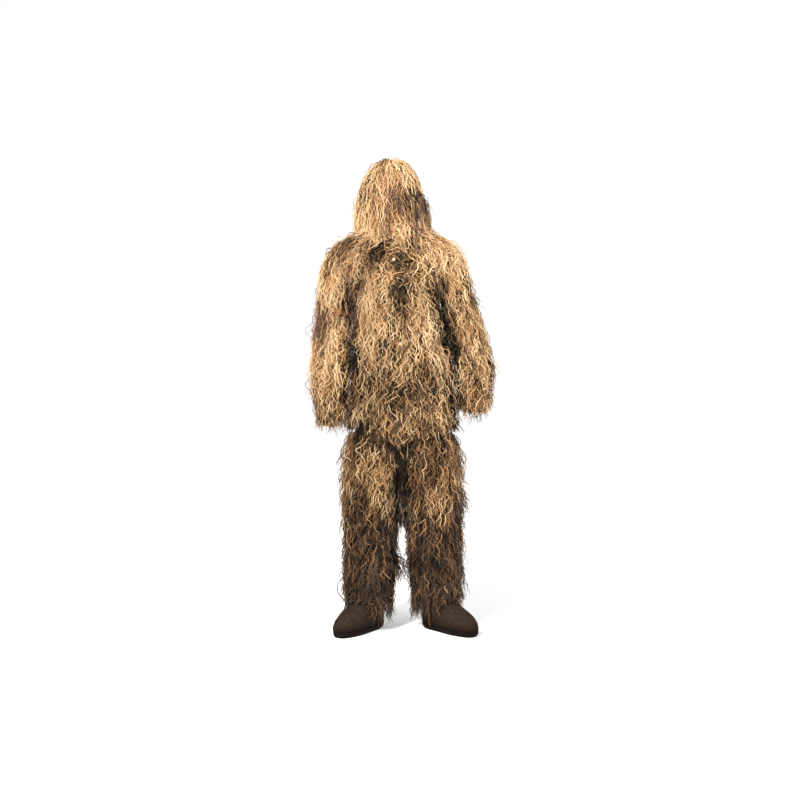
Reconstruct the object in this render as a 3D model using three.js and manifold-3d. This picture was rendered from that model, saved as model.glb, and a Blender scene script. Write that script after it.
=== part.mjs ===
// Ghillie suit: a hooded jacket and trousers of netting, covered with tiers of hanging yarn and
// standing in a pair of boots as a wearer would hold them. Millimetres, +Z up, the front faces -Y,
// the wearer's right side is -X, and the origin is on the floor under the middle of the suit.
import * as THREE from 'three';
import { mergeVertices } from 'three/addons/utils/BufferGeometryUtils.js';
import Module from 'manifold-3d';

const wasm = await Module();
wasm.setup();

// ---------------------------------------------------------------- driving dimensions
const HEIGHT = 1840;            // floor to the top of the hood
const GAP = 0.6;                // clearance between pieces that touch
const TIER_GAP = 3;             // clearance between the netting and the yarn that it carries
const NETTING = 2.5;            // thickness of the netting that carries the yarn
const PLACKET = 2;              // thickness of a placket strip
const SIDES = 12;               // facets round an oval section, one of them square to the front
const PILE_ROOT = 24;           // yarn thickness at the top edge of a tier
const PILE_TIP = 31;            // yarn thickness at its hanging edge
const HOOD_PILE = 25;           // yarn thickness round the hood
const THIN_PILE = 9;            // flattened yarn under the jacket
const FRONT_SLIT = 3;           // width of the jacket's front opening when it is snapped shut

const NECK = HEIGHT * 0.816;        // top edge of the jacket
const ARMHOLE = HEIGHT * 0.739;     // centre of the arm passages
const ELBOW = HEIGHT * 0.614;
const WAIST = HEIGHT * 0.576;       // top edge of the trousers
const HEM = HEIGHT * 0.397;         // lower edge of the jacket
const CROTCH = HEIGHT * 0.388;      // the fold line of the trouser legs
const KNEE = HEIGHT * 0.261;
const CUFF = HEIGHT * 0.066;        // lower edge of the trouser netting

// Heights where one tier of yarn ends and the next one begins.
const TIER_SEAM = 2;                // the step from one tier's edge to the next one's
const CROWN_END = HEIGHT * 0.925;
const YOKE_END = HEIGHT * 0.702;
const CHEST_END = HEIGHT * 0.603;
const MIDRIFF_END = HEIGHT * 0.503;
const UPPER_ARM_END = HEIGHT * 0.7065;
const FOREARM_END = HEIGHT * 0.522;
const THIGH_END = HEIGHT * 0.324;
const SHIN_END = HEIGHT * 0.158;
const CROTCH_TUFT_END = HEIGHT * 0.215;
const LEG_FRINGE_END = 60;
const SLEEVE_END = { right: 770, left: 822 };   // the sleeves hang to different heights

const ARMHOLE_RADIUS = 50;
const NAPE = { y: 92, z: NECK + 4 };            // hinge line of the hood
const ELBOW_FOLD = { y: -28, z: ELBOW };        // hinge line of the elbows
const CROTCH_FOLD = { y: 0, z: CROTCH };        // hinge line of the trouser legs
const KNEE_FOLD = { y: 42, z: KNEE };           // hinge line of the knees
const HOOD_TILT = 50;           // degrees that the hood tips back
const ELBOW_BEND = 55;
const LEG_FORWARD = 30;
const LEG_BACK = 20;
const KNEE_BEND = 45;
const FOLD_GAP = 4;             // the netting ends this far above and below an elbow or a knee
const WEDGE_OVERRUN = 12;       // how far a clearing wedge runs past the edge that it trims

// Where each foot stands: its ankle's distance from the middle plane, and how far it points outwards.
const FOOT = {
  right: { out: 125, turn: 36 },
  left: { out: 137, turn: 43 },
};
const SOLE_THICKNESS = 24;
const INSOLE_THICKNESS = 5;
const BOOT_WALL = 4;
const BOOT_MARGIN = 5;          // room between a boot and the yarn that hangs over it
const TOE_FULLNESS = 0.8;       // 1 is an oval sole, less is a squarer one
const SNAP_COUNT = 5;
const SNAP_RADIUS = 6.5;
const SNAP_HEIGHT = 2.6;
const PLACKET_TOP = NECK - 6;
const PLACKET_HALF = 17;        // half the width of a placket strip
const FIRST_SNAP = PLACKET_TOP - 62;
const LAST_SNAP = HEM + 60;
const FACE_HALF = 78;           // half the width of the hood's face opening
const FACE_TOP = 1668;
const FACE_BACK = -50;          // the face opening is cut from the front as far back as this
const VEIL_HALF = 98;           // half the width of the yarn veil over the opening
const CORD_DIAMETER = 4;

// ---------------------------------------------------------------- colours
const COLOURS = {
  straw: [0xb98f63, 0.95, 0],
  tan: [0xa57c52, 0.95, 0],
  brown: [0x6a5039, 0.95, 0],
  darkBrown: [0x4b382a, 0.95, 0],
  netting: [0x57472f, 0.9, 0],
  elastic: [0x2f2a24, 0.85, 0],
  snap: [0xc9bfa8, 0.35, 0.8],
  leather: [0x3d2f25, 0.6, 0],
  rubber: [0x1b1815, 0.8, 0],
  cord: [0x3a2c20, 0.85, 0],
};

// ---------------------------------------------------------------- body outlines
// The shoulders stand a little to the wearer's right of the feet, and the head a little more.
const SHOULDER_LEAN = 32;
const HEAD_LEAN = 14;

function middleLine(z) {
  const torso = THREE.MathUtils.smoothstep(z, 1000, 1420) * SHOULDER_LEAN;
  const head = THREE.MathUtils.smoothstep(z, 1500, 1760) * HEAD_LEAN;
  return -torso - head;
}

// A section of the netting: height, distance out from the middle line, half width, half depth
// and how far its centre lies behind the suit's middle plane.
function section(z, out, halfWidth, halfDepth, y = 0) {
  return { z, out, halfWidth, halfDepth, y, middle: middleLine(z) };
}

const TORSO = [
  section(NECK, 0, 82, 78, 8),
  section(1488, 0, 92, 84, 8),
  section(1440, 0, 107, 100, 6),
  section(1300, 0, 129, 118, 2),
  section(1205, 0, 147, 122),
  section(1021, 0, 164, 124),
  section(880, 0, 168, 130),
  section(HEM, 0, 188, 142),
];

const ARM = [
  section(1476, 216, 14, 18),
  section(1462, 213, 34, 44),
  section(1430, 214, 40, 56),
  section(1390, 223, 43, 60),
  section(1300, 242, 44, 62),
  section(1205, 255, 45, 62),
  section(1144, 268, 47, 62, -2),
  section(1021, 283, 50, 60, -6),
  section(900, 280, 43, 54, -12),
  section(790, 276, 32, 46, -18),
];

const SEAT = [
  section(WAIST, 0, 140, 98),
  section(930, 0, 148, 106),
  section(HEM, 0, 166, 116),
  section(CROTCH + 6, 0, 168, 118),
];

const LEG = [
  section(CROTCH - 2, 112, 78, 92),
  section(600, 115, 80, 90),
  section(KNEE, 123, 86, 88),
  section(370, 122, 80, 84),
  section(250, 126, 80, 80),
  section(CUFF, 131, 72, 74),
  section(62, 131, 68, 70),
];

const HOOD = [
  section(HEIGHT - PILE_ROOT, 0, 22, 26, -2),
  section(1792, 0, 58, 66, -4),
  section(1750, 0, 82, 94, -6),
  section(1690, 0, 103, 116, -6),
  section(1620, 0, 122, 122, -4),
  section(NECK + 14, 0, 124, 112, 2),
];

// A boot's upper: the sections run from the shaft's rim down to the sole, and y is towards the heel.
const BOOT = [
  section(178, 0, 49, 58, 16),
  section(130, 0, 46, 60, 9),
  section(104, 0, 47, 86, -17),
  section(84, 0, 49, 113, -44),
  section(62, 0, 51, 132, -62),
  section(40, 0, 52, 141, -69),
  section(SOLE_THICKNESS + GAP, 0, 51, 140, -68),
];

// ---------------------------------------------------------------- section helpers
function sectionAt(outline, z) {
  const below = outline.findIndex((entry) => entry.z <= z);
  if (below === 0) {
    return { ...outline[0], z };
  }
  if (below < 0) {
    return { ...outline[outline.length - 1], z };
  }
  const upper = outline[below - 1];
  const lower = outline[below];
  const t = (upper.z - z) / (upper.z - lower.z);
  const mixed = { z };
  ['out', 'halfWidth', 'halfDepth', 'y', 'middle'].forEach((key) => {
    mixed[key] = THREE.MathUtils.lerp(upper[key], lower[key], t);
  });
  return mixed;
}

// The sections of an outline between two heights, both ends included.
function stretch(outline, top, bottom) {
  const between = outline.filter((entry) => entry.z < top - 1 && entry.z > bottom + 1);
  return [sectionAt(outline, top), ...between, sectionAt(outline, bottom)];
}

function offsetSection(entry, distance) {
  return {
    ...entry,
    halfWidth: entry.halfWidth + distance,
    halfDepth: entry.halfDepth + distance,
  };
}

// The corners of an oval section stand out so that its flats lie at the stated half sizes.
const CIRCUMSCRIBED = 1 / Math.cos(Math.PI / SIDES);

// Revolves the profile of the rings into an oval body, one ring for each profile point.
function ovalBody(rings, side) {
  const profile = rings.map((ring) => new THREE.Vector2(ring.halfWidth, ring.z));
  const geometry = new THREE.LatheGeometry(profile, SIDES);
  const position = geometry.getAttribute('position');
  for (let vertex = 0; vertex < position.count; vertex += 1) {
    const ring = rings[vertex % rings.length];
    const step = Math.floor(vertex / rings.length) % SIDES;
    const angle = ((step + 0.5) / SIDES) * Math.PI * 2;
    const x = ring.middle + side * ring.out + ring.halfWidth * Math.sin(angle) * CIRCUMSCRIBED;
    const y = ring.y - ring.halfDepth * Math.cos(angle) * CIRCUMSCRIBED;
    position.setXYZ(vertex, x, y, ring.z);
  }
  return outwardSolid(geometry);
}

// A hollow oval stretch of an outline. inside and outside are distances from the netting's face;
// outside is given at the top and at the bottom edge.
function shell(outline, top, bottom, inside, outside, side = 0, closedTop = false) {
  const entries = stretch(outline, top, bottom);
  const outer = entries.map((entry) => {
    const t = (top - entry.z) / (top - bottom);
    return offsetSection(entry, THREE.MathUtils.lerp(outside[0], outside[1], t));
  });
  const inner = entries.map((entry) => offsetSection(entry, inside)).reverse();
  if (!closedTop) {
    return ovalBody([...outer, ...inner, outer[0]], side);
  }
  const peak = (z) => ({ ...entries[0], z, halfWidth: 0, halfDepth: 0 });
  return ovalBody([peak(top + outside[0]), ...outer, ...inner, peak(top + inside)], side);
}

// ---------------------------------------------------------------- solids and cuts
function toManifold(geometry) {
  const bare = geometry.clone();
  bare.deleteAttribute('normal');
  bare.deleteAttribute('uv');
  const merged = mergeVertices(bare, 1e-3);
  return new wasm.Manifold(new wasm.Mesh({
    numProp: 3,
    vertProperties: new Float32Array(merged.getAttribute('position').array),
    triVerts: new Uint32Array(merged.index.array),
  }));
}

function fromManifold(manifold) {
  const mesh = manifold.getMesh();
  const geometry = new THREE.BufferGeometry();
  geometry.setAttribute('position', new THREE.BufferAttribute(mesh.vertProperties, 3));
  geometry.setIndex(new THREE.BufferAttribute(mesh.triVerts, 1));
  geometry.computeVertexNormals();
  return geometry;
}

function signedVolume(geometry) {
  const position = geometry.getAttribute('position');
  const index = geometry.index;
  const corner = [new THREE.Vector3(), new THREE.Vector3(), new THREE.Vector3()];
  let volume = 0;
  for (let face = 0; face < index.count; face += 3) {
    corner.forEach((point, k) => point.fromBufferAttribute(position, index.getX(face + k)));
    volume += corner[0].dot(corner[1].clone().cross(corner[2])) / 6;
  }
  return volume;
}

// Merges the seam of a revolved body and turns its faces outwards.
function outwardSolid(geometry) {
  geometry.deleteAttribute('normal');
  geometry.deleteAttribute('uv');
  const merged = mergeVertices(geometry, 1e-3);
  const kept = [];
  const index = Array.from(merged.index.array);
  for (let face = 0; face < index.length; face += 3) {
    const [a, b, c] = index.slice(face, face + 3);
    if (a !== b && b !== c && c !== a) {
      kept.push(a, b, c);
    }
  }
  merged.setIndex(kept);
  if (signedVolume(merged) < 0) {
    for (let face = 0; face < kept.length; face += 3) {
      [kept[face + 1], kept[face + 2]] = [kept[face + 2], kept[face + 1]];
    }
    merged.setIndex(kept);
  }
  merged.computeVertexNormals();
  return merged;
}

function cut(geometry, ...tools) {
  let solid = toManifold(geometry);
  tools.forEach((tool) => {
    solid = solid.subtract(toManifold(tool));
  });
  return fromManifold(solid);
}

function keep(geometry, tool) {
  return fromManifold(toManifold(geometry).intersect(toManifold(tool)));
}

function block(low, high) {
  const size = high.map((value, axis) => value - low[axis]);
  const geometry = new THREE.BoxGeometry(...size);
  geometry.translate(...high.map((value, axis) => (value + low[axis]) / 2));
  return geometry;
}

// A wedge with its edge on a hinge line along X. It takes away what would strike the neighbour
// when the piece turns: reach is along Y (negative is forward), up is 1 above or -1 below.
function wedge(fold, degrees, reach, up) {
  const rise = Math.abs(reach) * Math.tan(THREE.MathUtils.degToRad(degrees));
  const far = fold.y + reach;
  const outline = new THREE.Shape([
    new THREE.Vector2(fold.y, fold.z),
    new THREE.Vector2(far, fold.z - up * rise),
    new THREE.Vector2(far, fold.z + up * WEDGE_OVERRUN),
    new THREE.Vector2(fold.y, fold.z + up * WEDGE_OVERRUN),
  ]);
  const geometry = new THREE.ExtrudeGeometry(outline, { depth: 900, bevelEnabled: false });
  geometry.translate(0, 0, -450);
  geometry.applyMatrix4(new THREE.Matrix4().makeBasis(
    new THREE.Vector3(0, 1, 0),
    new THREE.Vector3(0, 0, 1),
    new THREE.Vector3(1, 0, 0),
  ));
  return geometry;
}

function barAlongX(radius, from, to, y, z) {
  const geometry = new THREE.CylinderGeometry(radius, radius, Math.abs(to - from), SIDES);
  geometry.rotateZ(Math.PI / 2);
  geometry.translate((from + to) / 2, y, z);
  return geometry;
}

// ---------------------------------------------------------------- the model
const suit = new THREE.Group();

function add(name, geometry, colour, parent = suit) {
  const [color, roughness, metalness] = COLOURS[colour];
  const material = new THREE.MeshStandardMaterial({ color, roughness, metalness });
  const mesh = new THREE.Mesh(geometry, material);
  mesh.name = name;
  parent.add(mesh);
  return mesh;
}

const netting = (outline, top, bottom, side, closedTop) => (
  shell(outline, top, bottom, -NETTING, [0, 0], side, closedTop)
);
const tier = (outline, top, bottom, side, closedTop) => (
  shell(outline, top, bottom, TIER_GAP, [PILE_ROOT, PILE_TIP], side, closedTop)
);

// The passage from the jacket's body into a sleeve.
function armPassage(side) {
  const middle = middleLine(ARMHOLE);
  return barAlongX(ARMHOLE_RADIUS, middle + side * 60, middle + side * 236, 4, ARMHOLE);
}

function jacket() {
  const slit = frontStrip(FRONT_SLIT / 2, NECK + 10, HEM - 10);
  const passages = [armPassage(-1), armPassage(1)];
  const room = PLACKET * 2 + SNAP_HEIGHT + GAP * 3;      // the yarn starts in front of the placket
  const tiers = [
    ['jacket_yarn_yoke', NECK - TIER_SEAM, YOKE_END, 'straw', passages],
    ['jacket_yarn_chest', YOKE_END - TIER_SEAM, CHEST_END, 'straw', []],
    ['jacket_yarn_waist', CHEST_END - TIER_SEAM, MIDRIFF_END, 'tan', []],
    ['jacket_yarn_hem', MIDRIFF_END - TIER_SEAM, HEM, 'tan', []],
  ];
  add('jacket_netting', cut(netting(TORSO, NECK, HEM + 8), slit, ...passages), 'netting');
  tiers.forEach(([name, top, bottom, colour, holes]) => {
    const ring = shell(TORSO, top, bottom, TIER_GAP, [PILE_ROOT, PILE_TIP]);
    add(name, cut(ring, slit, placketRoom(room), ...holes), colour);
  });
  add('jacket_collar_band', shell(TORSO, NECK + 12, NECK + 1, -NETTING, [GAP, GAP]), 'elastic');
}

// A slab down the jacket's front, half a width to each side of the leaning middle line.
function frontStrip(half, top, bottom) {
  const line = stretch(TORSO, top, bottom);
  const edge = (sign) => line.map((entry) => new THREE.Vector2(entry.middle + sign * half, entry.z));
  const outline = new THREE.Shape([...edge(1), ...edge(-1).reverse()]);
  const slab = new THREE.ExtrudeGeometry(outline, { depth: 260, bevelEnabled: false });
  slab.rotateX(Math.PI / 2);
  slab.translate(0, -40, 0);
  return slab;
}

// The strip of space in front of the netting that the placket and its snaps take.
function placketRoom(depth) {
  return keep(shell(TORSO, NECK, HEM, -1, [depth, depth]), frontStrip(PLACKET_HALF + 1, NECK, HEM));
}

function placket() {
  const strip = (inside) => (
    keep(shell(TORSO, NECK, HEM, inside, [inside + PLACKET, inside + PLACKET]),
      frontStrip(PLACKET_HALF, PLACKET_TOP, HEM + 4))
  );
  add('jacket_placket_over', strip(GAP), 'netting');
  add('jacket_placket_under', strip(-NETTING - GAP - PLACKET), 'netting');
  const step = (FIRST_SNAP - LAST_SNAP) / (SNAP_COUNT - 1);
  for (let k = 0; k < SNAP_COUNT; k += 1) {
    const z = FIRST_SNAP - k * step;
    const entry = sectionAt(TORSO, z);
    const geometry = new THREE.CylinderGeometry(SNAP_RADIUS, SNAP_RADIUS * 0.8, SNAP_HEIGHT, 8);
    const beside = [sectionAt(TORSO, z + SNAP_RADIUS), sectionAt(TORSO, z - SNAP_RADIUS)];
    const front = beside.map((ring) => ring.y - ring.halfDepth);
    const slope = Math.atan2(front[1] - front[0], SNAP_RADIUS * 2);
    geometry.translate(0, PLACKET + GAP * 2.5 + SNAP_HEIGHT / 2, 0);
    geometry.rotateX(Math.PI + slope);
    geometry.translate(entry.middle, entry.y - entry.halfDepth, z);
    add(`jacket_snap_${k + 1}`, geometry, 'snap');
  }
}

// A block in front of the face, half a width to each side of the head's middle line.
function faceBlock(half, bottom, top, back) {
  const middle = middleLine(1600);
  return block([middle - half, -300, bottom], [middle + half, back, top]);
}

function hood() {
  const face = faceBlock(FACE_HALF, NECK - 40, FACE_TOP, FACE_BACK);
  const clearance = wedge(NAPE, HOOD_TILT, 160, -1);
  const top = HOOD[0].z;
  add('hood_netting', cut(netting(HOOD, top, NECK + 16, 0, true), face, clearance), 'netting');
  const crown = shell(HOOD, top, CROWN_END, TIER_GAP, [PILE_ROOT, HOOD_PILE], 0, true);
  add('hood_yarn_crown', crown, 'straw');
  const sides = shell(HOOD, CROWN_END - TIER_SEAM, NECK + 16, TIER_GAP, [HOOD_PILE, HOOD_PILE + 3]);
  add('hood_yarn_sides', cut(sides, face, clearance), 'tan');
  const veilTop = CROWN_END - 12;
  const veilEnd = NECK - 56;
  const curtain = shell(HOOD, veilTop, veilEnd, HOOD_PILE + 4, [HOOD_PILE + 15, HOOD_PILE + 27]);
  add('hood_face_veil', keep(curtain, faceBlock(VEIL_HALF, veilEnd - 4, veilTop + 10, -70)), 'straw');
}

// An elastic ring sewn inside the netting of a sleeve or a leg.
function elasticBand(outline, top, bottom, side) {
  const face = -NETTING - GAP;
  return shell(outline, top, bottom, face - NETTING, [face, face], side);
}

function sleeve(side, name) {
  const fringeEnd = SLEEVE_END[name];
  const passage = armPassage(side);
  const bend = wedge(ELBOW_FOLD, ELBOW_BEND, -160, 1);
  const top = ARM[0].z;
  const upper = ELBOW + FOLD_GAP;
  const lower = ELBOW - FOLD_GAP;
  const forearm = cut(netting(ARM, lower, fringeEnd + 26, side), bend);
  add(`${name}_sleeve_netting_upper`, cut(netting(ARM, top, upper, side, true), passage), 'netting');
  add(`${name}_sleeve_yarn_shoulder`, cut(tier(ARM, top, UPPER_ARM_END, side, true), passage), 'straw');
  add(`${name}_sleeve_yarn_upper`, tier(ARM, UPPER_ARM_END - TIER_SEAM, upper, side), 'straw');
  add(`${name}_sleeve_netting_lower`, forearm, 'netting');
  add(`${name}_sleeve_yarn_forearm`, cut(tier(ARM, lower, FOREARM_END, side), bend), 'tan');
  add(`${name}_sleeve_yarn_wrist`, tier(ARM, FOREARM_END - TIER_SEAM, fringeEnd, side), 'tan');
  add(`${name}_sleeve_elastic`, elasticBand(ARM, fringeEnd + 42, fringeEnd + 28, side), 'elastic');
}

function trouserSeat() {
  add('trousers_waistband', shell(SEAT, WAIST + 38, WAIST, -4, [2, 2]), 'elastic');
  add('trousers_netting_seat', netting(SEAT, WAIST - 1, CROTCH + 8), 'netting');
  add('trousers_yarn_seat', shell(SEAT, WAIST - 12, CROTCH + 10, TIER_GAP, [THIN_PILE, THIN_PILE]), 'brown');
  const seat = sectionAt(SEAT, CROTCH + 8);
  const gusset = block([-30, -seat.halfDepth, CROTCH + 3], [30, seat.halfDepth, CROTCH + 7]);
  add('trousers_gusset', gusset, 'netting');
  add('trousers_yarn_crotch', block([-4, -54, CROTCH_TUFT_END], [4, 54, CROTCH + 2]), 'darkBrown');
}

function trouserLeg(side, name) {
  const forward = wedge(CROTCH_FOLD, LEG_FORWARD, -180, 1);
  const back = wedge(CROTCH_FOLD, LEG_BACK, 180, 1);
  const bend = wedge(KNEE_FOLD, KNEE_BEND, 160, 1);
  const clearBoot = bootBody(side, name);
  const top = CROTCH - 2;
  const upperKnee = KNEE + FOLD_GAP;
  const lowerKnee = KNEE - FOLD_GAP;
  add(`${name}_leg_netting_thigh`, cut(netting(LEG, top, upperKnee, side), forward, back), 'netting');
  add(`${name}_leg_yarn_thigh`, cut(tier(LEG, top, THIGH_END, side), forward, back), 'brown');
  add(`${name}_leg_yarn_knee`, tier(LEG, THIGH_END - TIER_SEAM, upperKnee, side), 'brown');
  add(`${name}_leg_netting_shin`, cut(netting(LEG, lowerKnee, CUFF, side), bend, clearBoot), 'netting');
  const cuff = tier(LEG, SHIN_END - TIER_SEAM, LEG_FRINGE_END, side);
  add(`${name}_leg_yarn_shin`, cut(tier(LEG, lowerKnee, SHIN_END, side), bend), 'darkBrown');
  add(`${name}_leg_yarn_cuff`, cut(cuff, clearBoot), 'darkBrown');
  add(`${name}_leg_elastic`, elasticBand(LEG, CUFF + 110, CUFF + 94, side), 'elastic');
}

// ---------------------------------------------------------------- boots
// Turns a piece that is drawn along Y into its place under a leg.
function placeBoot(geometry, side, name) {
  const foot = FOOT[name];
  geometry.rotateZ(THREE.MathUtils.degToRad(side * foot.turn));
  geometry.translate(side * foot.out, 0, 0);
  return geometry;
}

// The boot's outside, grown by a margin, as one solid: what the trouser cuff has to clear.
function bootBody(side, name) {
  const rings = BOOT.map((entry) => offsetSection(entry, BOOT_MARGIN));
  const last = rings[rings.length - 1];
  const rim = { ...rings[0], z: rings[0].z + BOOT_MARGIN };
  const top = { ...rim, halfWidth: 0, halfDepth: 0 };
  const floor = { ...last, z: 0 };
  const end = { ...floor, halfWidth: 0, halfDepth: 0 };
  return placeBoot(ovalBody([top, rim, ...rings.slice(1), floor, end], 0), side, name);
}

function bootUpper() {
  const outer = BOOT;
  const inner = BOOT.slice(0, -1).map((entry) => offsetSection(entry, -BOOT_WALL)).reverse();
  const footbed = { ...offsetSection(BOOT[BOOT.length - 1], -BOOT_WALL), z: BOOT[BOOT.length - 1].z };
  return ovalBody([...outer, footbed, ...inner, outer[0]], 0);
}

// A sole's outline: a full oval that narrows under the arch.
function footOutline(margin) {
  const foot = BOOT[BOOT.length - 1];
  const full = (value) => Math.sign(value) * Math.abs(value) ** TOE_FULLNESS;
  const points = [];
  const count = 28;
  for (let k = 0; k < count; k += 1) {
    const angle = (k / count) * Math.PI * 2;
    const waist = 1 - 0.16 * Math.exp(-(((Math.cos(angle) + 0.25) / 0.3) ** 2));
    points.push(new THREE.Vector2(
      (foot.halfWidth + margin) * full(Math.sin(angle)) * waist,
      foot.y - (foot.halfDepth + margin) * full(Math.cos(angle)),
    ));
  }
  return new THREE.Shape(points);
}

function boot(side, name) {
  const sole = new THREE.ExtrudeGeometry(footOutline(3), { depth: SOLE_THICKNESS, bevelEnabled: false });
  const arch = block([-80, -34, -1], [80, 0, 9]);
  add(`${name}_boot_outsole`, placeBoot(cut(sole, arch), side, name), 'rubber');
  add(`${name}_boot_upper`, placeBoot(bootUpper(), side, name), 'leather');
  const bed = new THREE.ExtrudeGeometry(
    footOutline(-BOOT_WALL - 9), { depth: INSOLE_THICKNESS, bevelEnabled: false });
  bed.translate(0, 0, SOLE_THICKNESS + GAP);
  add(`${name}_boot_insole`, placeBoot(bed, side, name), 'elastic');
}

// ---------------------------------------------------------------- ankle tie
// The free end of the right cuff's tie, in the suit's own place: out of the yarn, round in a
// small slack loop and down onto the toe of the boot.
const TIE = [
  [-226, -82, 216], [-236, -86, 208], [-244, -90, 197], [-248, -94, 184],
  [-247, -98, 170], [-242, -102, 157], [-233, -106, 146], [-223, -110, 137],
  [-215, -114, 129], [-212, -119, 120], [-215, -125, 111], [-222, -131, 102],
  [-230, -137, 93], [-238, -143, 84], [-244, -148, 76], [-248, -151, 69],
];

function ankleTie() {
  const path = new THREE.CatmullRomCurve3(TIE.map((point) => new THREE.Vector3(...point)));
  const round = new THREE.Shape();
  const facets = 8;
  for (let k = 0; k < facets; k += 1) {
    const angle = (k / facets) * Math.PI * 2;
    const x = (CORD_DIAMETER / 2) * Math.cos(angle);
    const y = (CORD_DIAMETER / 2) * Math.sin(angle);
    if (k === 0) {
      round.moveTo(x, y);
    } else {
      round.lineTo(x, y);
    }
  }
  const cord = new THREE.ExtrudeGeometry(round, { steps: 24, extrudePath: path, bevelEnabled: false });
  add('ankle_tie_cord', cord, 'cord');
  const end = path.getPoint(1);
  const along = path.getTangent(1);
  const knot = new THREE.SphereGeometry(CORD_DIAMETER * 1.1, 10, 8);
  const centre = end.clone().addScaledVector(along, CORD_DIAMETER * 1.1 + GAP);
  knot.translate(centre.x, centre.y, centre.z);
  add('ankle_tie_knot', knot, 'cord');
}

jacket();
placket();
hood();
trouserSeat();
[[-1, 'right'], [1, 'left']].forEach(([side, name]) => {
  sleeve(side, name);
  trouserLeg(side, name);
  boot(side, name);
});
ankleTie();

export default suit;
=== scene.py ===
"""Ghillie suit: the looks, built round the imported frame.

Netting hangs on the frame's ovals, locks of crimped yarn are tied to the netting in rows and hang
down it, and the boots, bands and fastenings are modelled in their own nodes' boxes. Metres.
"""
import math

import bpy
import numpy as np
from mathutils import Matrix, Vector, noise


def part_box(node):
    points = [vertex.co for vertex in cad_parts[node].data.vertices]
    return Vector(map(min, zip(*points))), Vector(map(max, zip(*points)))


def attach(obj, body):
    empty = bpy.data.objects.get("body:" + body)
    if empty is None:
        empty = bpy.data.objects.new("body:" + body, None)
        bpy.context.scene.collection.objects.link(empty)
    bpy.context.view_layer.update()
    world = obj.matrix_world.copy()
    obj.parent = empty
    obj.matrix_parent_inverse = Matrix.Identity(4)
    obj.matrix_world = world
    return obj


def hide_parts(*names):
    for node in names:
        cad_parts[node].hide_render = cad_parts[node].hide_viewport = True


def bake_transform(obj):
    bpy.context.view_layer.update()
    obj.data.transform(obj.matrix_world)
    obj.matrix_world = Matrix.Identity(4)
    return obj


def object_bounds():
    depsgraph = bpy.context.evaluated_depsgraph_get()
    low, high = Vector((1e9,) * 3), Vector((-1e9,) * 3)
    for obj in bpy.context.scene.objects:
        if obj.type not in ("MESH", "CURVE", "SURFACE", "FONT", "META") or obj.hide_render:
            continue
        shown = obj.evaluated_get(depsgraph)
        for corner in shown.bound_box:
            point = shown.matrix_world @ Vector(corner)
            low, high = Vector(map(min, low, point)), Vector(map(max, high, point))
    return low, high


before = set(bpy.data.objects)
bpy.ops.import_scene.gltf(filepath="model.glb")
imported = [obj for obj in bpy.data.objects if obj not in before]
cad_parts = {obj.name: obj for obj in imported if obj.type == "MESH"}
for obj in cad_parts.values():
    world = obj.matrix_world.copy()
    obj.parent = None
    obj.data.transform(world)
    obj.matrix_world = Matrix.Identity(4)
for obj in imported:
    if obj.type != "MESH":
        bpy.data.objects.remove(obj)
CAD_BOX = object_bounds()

SIDES = {"right": -1, "left": 1}        # the wearer's sides, and the sign of X on each
SEED = 587

# Driving sizes of the yarn
ROW_GAP = 0.030             # between rows of knots down the netting
TUFT_GAP = 0.024            # between knots along a row
STRANDS = 8                 # in a tuft
FEWEST_TUFTS = 12           # in a row, where the netting closes to a point
RINGS = 20                  # rings of points along a strand
YARN_RADIUS = 0.00118
YARN_LENGTH = (0.13, 0.20)  # shortest and longest strand
SHORTEST = (0.040, 0.045)   # a fringe's strands are cut no shorter than this
YARN_DEPTH = 0.032          # how far the pile stands off the netting
LOCK_SPREAD = 0.008         # how far a lock's strands part at its middle
STRAND_WANDER = 1.05        # how far off its lock's line a strand heads, in radians
STRAND_MEMORY = 0.25        # how much of its heading a strand keeps from ring to ring
STRAND_PULL = 0.06          # how much of its way aside a strand loses at each ring
LOCK_WANDER = 0.36          # how far off straight down a lock heads, in radians
LOCK_MEMORY = 0.85
RIPPLE = 0.45               # how far off the pile's slope a strand heads, in radians
RIPPLE_MEMORY = 0.4
RIPPLE_PULL = 0.3
STEEPEST = 1.35             # the furthest that any strand heads off straight down
LEAN_SPREAD = 0.10          # how far whole locks lean aside, in radians
ENDS_JITTER = 0.025         # how unevenly a fringe's ends hang
FLYAWAY_SHARE = 0.05
FLYAWAY_LIFT = 0.006        # how much further a flyaway strand stands off
FLYAWAY_WILDNESS = 1.25
HOOD_WILDNESS = 0.6         # the hood's yarn hangs straighter than the rest
FLOOR_CLEARANCE = 0.010

# Painted shade and light on the yarn, and how much whole locks differ in tone, in steps down the ladder of
# tones
LOCK_CONTRAST = 0.8         # how much whole locks differ
BURIED_DUSK = 5.2           # painted shade: how much darker the deepest strands in the pile are
ROOT_DUSK = 3.5             # painted shade: how much darker roots are
SHALLOW_DUSK = 1.8          # the same painted shade on roots, where a tier's roots stay in sight
TIP_SHINE = 0.5             # painted light: how much lighter tips are
GAP_DUSK = 4.5              # painted shade: how much darker the yarn is where sleeve and side meet
ROOTS, TIPS = 0.30, 0.65    # where roots end and tips begin, as shares of a strand
TONE_GAIN = 0.70            # darkens all the yarn, for a bright studio

# Angles round a drape: 0 is the front and a quarter turn is the wearer's left
FULL_TURN = 2 * math.pi
QUARTER = math.pi / 2
ALL_ROUND = (-math.pi, math.pi)
FRONT_HALF = (-QUARTER, QUARTER)
BACK_HALF = (QUARTER, 3 * QUARTER)

SLEEVE_END = {"right": 0.770, "left": 0.822}    # the heights at which the sleeves end
# Each ankle's distance from the middle plane, and how far its foot points outwards
FOOT = {"right": (0.125, math.radians(36)), "left": (0.137, math.radians(43))}
# How much deeper a leg's pile is on its outer side and at the tie, as shares
LEG_FULLNESS = {"right": 0.0, "left": 0.6}
TIE_FULLNESS = {"right": 0.8, "left": 0.0}

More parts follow.
